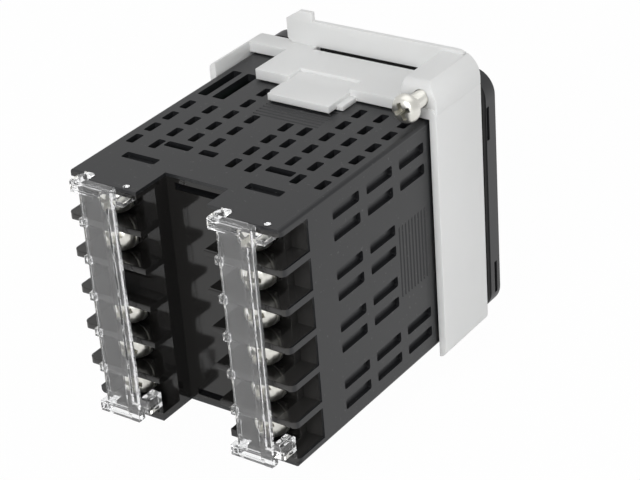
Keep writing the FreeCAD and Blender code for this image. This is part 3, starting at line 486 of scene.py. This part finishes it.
# The relay, the numeral block and the key switches are dark thermoplastic mouldings. Their legs are soldered to
# the boards.
component_black = Finish("component_black")
component_black.drive("Base Color", component_black.blend(
    component_black.noise(500), (0.01, 0.01, 0.01), (0.02, 0.02, 0.02)))
component_black.drive("Roughness", 0.45 + component_black.noise(700) * 0.15)
for node in ("display_module", "relay", "tact_switches"):
    dress(node, component_black)

# The transformer is a wound coil under yellow polyester tape, whose turns leave fine lines round it. It stands
# on the power board.
component_yellow = Finish("component_yellow")
tape = component_yellow.node("ShaderNodeTexWave", {"bands_direction": "Z"}, {
    "Vector": component_yellow.place(), "Scale": 160.0, "Distortion": 0.4})
component_yellow.drive("Base Color", component_yellow.blend(tape, (0.5, 0.36, 0.06), (0.66, 0.5, 0.1)))
component_yellow.drive("Roughness", 0.25 + component_yellow.noise(300) * 0.15)
component_yellow.bump(tape, 0.05 * MM, 0.3)
dress("transformer", component_yellow)

# The capacitors wear a dark shrunk sleeve, and the board connectors are ivory nylon housings. Both are soldered
# to the boards.
capacitor_sleeve = Finish("capacitor_sleeve")
capacitor_sleeve.drive("Base Color", capacitor_sleeve.blend(
    capacitor_sleeve.noise(200), (0.012, 0.012, 0.025), (0.02, 0.02, 0.035)))
capacitor_sleeve.drive("Roughness", 0.2 + capacitor_sleeve.noise(500) * 0.1)
dress("capacitors", capacitor_sleeve)
connector_white = Finish("connector_white")
connector_white.drive("Base Color", connector_white.blend(
    connector_white.noise(300), (0.62, 0.6, 0.52), (0.7, 0.68, 0.6)))
connector_white.drive("Roughness", 0.45 + connector_white.noise(600) * 0.1)
dress("board_connectors", connector_white)

# The terminal plates are small stamped brass squares that sit low in the bays, under the washers. They are zinc
# plated, bright with a warm cast and fine drawing marks.
bright_zinc = Finish("bright_zinc", Metallic=1.0)
brushing = bright_zinc.noise(2600, 2)
bright_zinc.drive("Base Color", bright_zinc.blend(
    bright_zinc.noise(500), (0.80, 0.785, 0.72), (0.93, 0.92, 0.87)))
bright_zinc.drive("Roughness", 0.24 + bright_zinc.noise(900, 3) * 0.16)
bright_zinc.bump(brushing, 0.006 * MM, 0.4)
blank_place, screw_x = (1, 3), 14.2
screw_places = [(side * screw_x, (row - 2.5) * web_pitch)
                for side in (1, -1) for row in range(6) if (side, row) != blank_place]
half_plate, plate_span = 2.1, (54.35, 55.1)
plates_form = bmesh.new()
for across, height in screw_places:
    add_block(plates_form, (across - half_plate, across + half_plate), plate_span,
              (height - half_plate, height + half_plate))
plates_mesh = bpy.data.meshes.new("terminal_plate_set")
plates_form.to_mesh(plates_mesh)
plates_form.free()
plates = bpy.data.objects.new("terminal_plate_set", plates_mesh)
scene.collection.objects.link(plates)
stand_for(round_edges(plates, 0.12 * MM), "terminal_plates", bright_zinc)

# The terminal screws are M3 pan heads with a cross recess, each with a round captive washer. They are driven to
# eleven places and each is left at its own turn.
terminal_head_radius, terminal_head_height, screw_seat = 2.8, 2.2, 55.8


def lathe(form, profile, around=40):
    """A turned form about the Y axis, from radius and place pairs in millimetres."""
    rings = []
    for radius, along in profile:
        if radius == 0:
            rings.append([form.verts.new((0, along * MM, 0))] * around)
        else:
            rings.append([form.verts.new((radius * MM * math.cos(math.tau * part / around), along * MM,
                                          radius * MM * math.sin(math.tau * part / around)))
                          for part in range(around)])
    for lower, upper in zip(rings, rings[1:]):
        for part in range(around):
            following = (part + 1) % around
            corners = list(dict.fromkeys((lower[part], upper[part], upper[following], lower[following])))
            form.faces.new(corners)


def combine(piece, other, operation):
    """Joins or cuts one piece with another, and drops the other."""
    step = piece.modifiers.new("combine", "BOOLEAN")
    step.operation = operation
    step.solver = "EXACT"
    step.use_self = True
    step.object = other
    settled(piece)
    bpy.data.objects.remove(other)
    return piece


def smooth_over(piece, angle=32):
    """Shades the piece smooth, apart from edges sharper than an angle."""
    form = bmesh.new()
    form.from_mesh(piece.data)
    for face in form.faces:
        face.smooth = True
    for edge in form.edges:
        edge.smooth = len(edge.link_faces) == 2 and edge.calc_face_angle(0) < math.radians(angle)
    form.to_mesh(piece.data)
    form.free()
    return piece


def pan_head(name, radius, height, shank_radius, shank_length):
    """A pan head screw with a cross recess, its seat at the origin and its head towards +Y."""
    form = bmesh.new()
    lathe(form, [(0, height), (radius * 0.45, height * 0.985), (radius * 0.72, height * 0.9),
                 (radius * 0.9, height * 0.68), (radius, height * 0.34), (radius, height * 0.08),
                 (radius * 0.96, 0), (shank_radius, 0), (shank_radius, -shank_length), (0, -shank_length)])
    head = object_from(form, name)
    cutter = bmesh.new()
    crosses = []
    quarter_turns = ((1, 0), (0, 1), (-1, 0), (0, -1))
    for level, reach, width in ((1.1, 0.66, 0.17), (0.0, 0.3, 0.1)):
        corner = [(reach, -width), (reach, width), (width, width)]
        cross = [(a * c - b * s, a * s + b * c) for c, s in quarter_turns for a, b in corner]
        crosses.append([(a * radius, level * height, b * radius) for a, b in cross])
    add_loft(cutter, *crosses)
    driver = object_from(cutter, name + "_driver")
    return smooth_over(combine(head, driver, "DIFFERENCE"))


def scatter_tree(name):
    """Geometry Nodes: one screw on every point, turned about its axis by a seeded amount."""
    tree = bpy.data.node_groups.new(name, "GeometryNodeTree")
    tree.interface.new_socket("Places", in_out="INPUT", socket_type="NodeSocketGeometry")
    for label, kind in (("Screw", "NodeSocketObject"), ("Turn", "NodeSocketFloat"),
                        ("Seed", "NodeSocketInt"), ("Finish", "NodeSocketMaterial")):
        tree.interface.new_socket(label, in_out="INPUT", socket_type=kind)
    tree.interface.new_socket("Screws", in_out="OUTPUT", socket_type="NodeSocketGeometry")
    given = tree.nodes.new("NodeGroupInput")
    result = tree.nodes.new("NodeGroupOutput")
    screw = tree.nodes.new("GeometryNodeObjectInfo")
    chance = tree.nodes.new("FunctionNodeRandomValue")
    turn = tree.nodes.new("ShaderNodeCombineXYZ")
    place = tree.nodes.new("GeometryNodeInstanceOnPoints")
    real = tree.nodes.new("GeometryNodeRealizeInstances")
    paint = tree.nodes.new("GeometryNodeSetMaterial")
    for start, end in (
            (given.outputs["Places"], place.inputs["Points"]), (given.outputs["Screw"], screw.inputs["Object"]),
            (given.outputs["Turn"], chance.inputs[3]), (given.outputs["Seed"], chance.inputs["Seed"]),
            (chance.outputs[1], turn.inputs["Y"]), (turn.outputs[0], place.inputs["Rotation"]),
            (screw.outputs["Geometry"], place.inputs["Instance"]), (place.outputs[0], real.inputs[0]),
            (real.outputs[0], paint.inputs["Geometry"]), (given.outputs["Finish"], paint.inputs["Material"]),
            (paint.outputs[0], result.inputs[0])):
        tree.links.new(start, end)
    return tree


terminal_screw = pan_head("terminal_screw", terminal_head_radius, terminal_head_height, 1.5, 6.0)
washer_form = bmesh.new()
lathe(washer_form, [(1.6, 0), (2.85, 0), (2.95, -0.1), (2.95, -0.58), (2.85, -0.68), (1.6, -0.68), (1.6, 0)])
bmesh.ops.remove_doubles(washer_form, verts=washer_form.verts, dist=1e-7)
terminal_washer = smooth_over(object_from(washer_form, "terminal_washer"))
scatter = scatter_tree("terminal_fastener_scatter")
inputs = {item.name: item.identifier for item in scatter.interface.items_tree
          if getattr(item, "in_out", "") == "INPUT"}
for template, node in ((terminal_screw, "terminal_screws"), (terminal_washer, "terminal_washers")):
    places_mesh = bpy.data.meshes.new(node + "_places")
    places_mesh.from_pydata([
        (across * MM, screw_seat * MM, height * MM) for across, height in screw_places], [], [])
    fasteners = bpy.data.objects.new(node + "_set", places_mesh)
    scene.collection.objects.link(fasteners)
    driving = fasteners.modifiers.new("fasteners", "NODES")
    driving.node_group = scatter
    for label, value in (
            ("Screw", template), ("Turn", math.tau), ("Seed", 7), ("Finish", bright_zinc.material)):
        driving[inputs[label]] = value
    settled(fasteners)
    bpy.data.objects.remove(template)
    stand_for(fasteners, node, bright_zinc)

# The two clamp screws are long M3 pan heads in the adapter's corner blocks, with the thread showing under the
# head. Their points push against the panel.
clamp_head_radius, clamp_head_height, clamp_tip, clamp_turn = 2.6, 2.1, 4.1, 0.4
core_radius, thread_radius, thread_pitch, thread_depth = 1.1, 1.48, 0.5, 0.28
thread_around, thread_steps, start_rings, end_rings = 24, 8, 4, 8
for node in ("clamp_screw_upper", "clamp_screw_lower"):
    clamp_low, clamp_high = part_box(node)
    seat_y = clamp_high[1] / MM - clamp_head_height
    screw = pan_head(
        node + "_head", clamp_head_radius, clamp_head_height, core_radius, seat_y - clamp_tip - 0.1)
    thread = bmesh.new()
    length = seat_y - clamp_tip
    count = int(length / thread_pitch * thread_steps)
    rings = []
    for ring in range(count + 1):
        along = -length * ring / count
        row = []
        for part in range(thread_around):
            phase = (along / thread_pitch + part / thread_around) % 1
            ridge = 1 - abs(phase * 2 - 1)
            taper = min(1.0, (ring + 1) / start_rings, (count - ring + 1) / end_rings)
            radius = (thread_radius - thread_depth * (1 - ridge)) * (0.8 + 0.2 * taper)
            angle = math.tau * part / thread_around
            row.append(thread.verts.new(
                (radius * MM * math.cos(angle), along * MM, radius * MM * math.sin(angle))))
        rings.append(row)
    for upper, lower in zip(rings, rings[1:]):
        for part in range(thread_around):
            following = (part + 1) % thread_around
            thread.faces.new((upper[part], upper[following], lower[following], lower[part]))
    thread.faces.new(rings[0])
    thread.faces.new(rings[-1])
    thread.normal_update()
    shank = smooth_over(object_from(thread, node + "_thread"), 60)
    axis_x, axis_z = (clamp_low[0] + clamp_high[0]) / 2, (clamp_low[2] + clamp_high[2]) / 2
    shift = Matrix.Translation((axis_x, seat_y * MM, axis_z)) @ Matrix.Rotation(clamp_turn, 4, "Y")
    for piece in (screw, shank):
        piece.data.transform(shift)
    stand_for(screw, node, bright_zinc)
    belong(shank, node, bright_zinc)

# Each terminal cover is one clear polycarbonate moulding: a plate with a raised rib, a bar across either end, a
# barbed hook and small open clips at one edge, and hinge pins on arms at the other, snapped into the case.
clear_cover = Finish("clear_cover", Roughness=0.03, IOR=1.5, Transmission_Weight=0.955)
clear_cover.drive("Base Color", clear_cover.blend(
    clear_cover.noise(80), (0.93, 0.935, 0.94), (0.97, 0.97, 0.975)))
clear_cover.bump(clear_cover.noise(260), 0.02 * MM, 0.1)
plate_back, plate_front, bar_front, pin_level, pin_radius = 60.6, 61.6, 62.2, 59.1, 0.6
plate_width, half_height, bar_height, bar_lip, bar_reach = 6.85, 22.5, 2.0, 0.46, 8.1
arm_inside, arm_outside, sunk = 19.69, 20.69, 0.1
hook = [(8.1, 61.9), (8.1, 60.0), (7.6, 58.8), (7.9, 58.35), (5.9, 58.2), (6.6, 59.0), (6.95, 59.9),
        (6.95, 61.9)]
pin_circle = [math.tau * part / 20 for part in range(20)]
added_cuts = (-18.7, -14.7, -10.7, -3.6, 3.6, 10.7, 14.7, 18.7)


def add_prism(form, outline, height):
    """A prism along Z over an outline in X and Y, all in millimetres."""
    add_loft(form, *([(a, b, level) for a, b in outline] for level in height))


def at_end(end, low, high):
    """An extent along Z, at the upper or lower end of the cover."""
    return tuple(sorted((end * low, end * high)))


def add_frame(form, across, along, height, wall):
    """Four bars round a rectangular opening."""
    for share in ((across[0], across[0] + wall), (across[1] - wall, across[1])):
        add_block(form, share, along, height)
    for share in ((height[0], height[0] + wall), (height[1] - wall, height[1])):
        add_block(form, across, along, share)


for node, edge_x, pin_x in (("left_terminal_cover", 10.65, 9.1), ("right_terminal_cover", -17.6, -19.2)):
    form = bmesh.new()
    bar_across = (edge_x - bar_lip, edge_x + bar_reach)
    add_block(form, (edge_x + 0.7, edge_x + 1.85), (plate_front - sunk, bar_front),
              (-half_height + 1, half_height - 1))
    for end in (1, -1):
        bar = at_end(end, half_height - bar_height, half_height)
        add_block(form, bar_across, (plate_back, plate_front), bar)
        add_frame(form, bar_across, (plate_front - sunk, bar_front - 0.05), bar, 0.42)
        add_block(form, (edge_x - bar_lip, edge_x + 1.3), (plate_back, bar_front),
                  at_end(end, half_height - 3.5, half_height))
        add_prism(form, [(edge_x + a, b) for a, b in hook], at_end(end, 21.2, half_height + 0.1))
        knuckle_start = arm_inside if end > 0 else 17.9
        add_block(form, (pin_x - 1, edge_x + 0.8), (plate_back, plate_front),
                  at_end(end, arm_inside, arm_outside))
        add_block(form, (pin_x - 1, pin_x + 1), (58.1, plate_front), at_end(end, knuckle_start, arm_outside))
        add_prism(form, [(pin_x + pin_radius * math.cos(angle), pin_level + pin_radius * math.sin(angle))
                         for angle in pin_circle], at_end(end, 20.0, 22.3))
        add_frame(form, (edge_x + 5.7, edge_x + 6.6), (plate_front - sunk, plate_front + 0.12),
                  at_end(end, 15.1, 18.3), 0.18)
    for web in range(-2, 3):
        height = web * web_pitch
        add_frame(form, (edge_x + 6.75, edge_x + 8.05), (60.1, 61.2), (height - 0.75, height + 0.75), 0.4)
        add_block(form, (edge_x + 1.7, edge_x + plate_width), (plate_front - sunk, plate_front + 0.1),
                  (height + 0.1, height + 0.3))
    sheet = bmesh.new()
    add_block(sheet, (edge_x, edge_x + plate_width), (plate_back, plate_front),
              (-half_height + 0.3, half_height - 0.3))
    for part in (form, sheet):
        bmesh.ops.bevel(part, geom=part.edges[:], offset=0.06 * MM, segments=2, profile=0.5,
                        affect="EDGES", clamp_overlap=True)
        for level in added_cuts:
            bmesh.ops.bisect_plane(part, geom=part.verts[:] + part.edges[:] + part.faces[:],
                                   plane_co=(0, 0, level * MM), plane_no=(0, 0, 1))
    cover = object_from(form, node + "_moulding")
    combine(cover, object_from(sheet, node + "_sheet"), "UNION")
    stand_for(cover, node, clear_cover)

# The mounting adapter is one translucent moulding of natural nylon that is pushed on from behind and catches on
# the case's ratchet teeth. Its edges are soft, most of all round the screw blocks.
adapter_nylon = Finish("adapter_nylon", Subsurface_Weight=0.5, Subsurface_Scale=1.2 * MM, IOR=1.5)
adapter_nylon.shader.inputs["Subsurface Radius"].default_value = (1.0, 0.97, 0.94)
cloud = adapter_nylon.noise(60, 3)
adapter_nylon.drive("Base Color", adapter_nylon.blend(cloud, (0.72, 0.725, 0.72), (0.78, 0.785, 0.782)))
adapter_nylon.drive("Roughness", 0.4 + adapter_nylon.noise(300) * 0.1)
adapter_nylon.bump(adapter_nylon.noise(1800), 0.02 * MM, 0.15)

corner_radius, corner_x, corner_z = 4.5, -24.0, 29.4
edge_radius, edge_y, edge_z = 2.4, 16.3, 28.8
wall_ends = [(at_end(end, far_x, near_x), (1.62, 2.6), at_end(end, low_z, corner_z))
             for end in (1, -1) for far_x, near_x, low_z in ((-17.2, -14, 25), (-23.98, -17, 28.95))]
adapter = rounded_copy("mounting_adapter", 0.0, 1, (), wall_ends)
for end in (1, -1):
    corner_cut = bmesh.new()
    arc = [(corner_x + corner_radius - corner_radius * math.cos(math.pi / 2 * part / 10),
            corner_z - corner_radius + corner_radius * math.sin(math.pi / 2 * part / 10)) for part in range(11)]
    outside = [(corner_x + corner_radius, 35), (-30, 35), (-30, corner_z - corner_radius)]
    add_loft(corner_cut, *([(a * end, depth, b * end) for a, b in arc + outside] for depth in (-40, 40)))
    combine(adapter, object_from(corner_cut, "corner_cut"), "DIFFERENCE")
    edge_cut = bmesh.new()
    arc = [(edge_y - edge_radius + edge_radius * math.cos(math.pi / 2 * part / 8),
            edge_z - edge_radius + edge_radius * math.sin(math.pi / 2 * part / 8)) for part in range(9)]
    outside = [(edge_y - edge_radius, 35), (30, 35), (30, edge_z - edge_radius)]
    add_loft(edge_cut, *([(across * end, a, b * end) for a, b in arc + outside] for across in (-26, -16.9)))
    combine(adapter, object_from(edge_cut, "edge_cut"), "DIFFERENCE")
stand_for(smooth_over(round_edges(adapter, 0.35 * MM, 3), 25), "mounting_adapter", adapter_nylon)
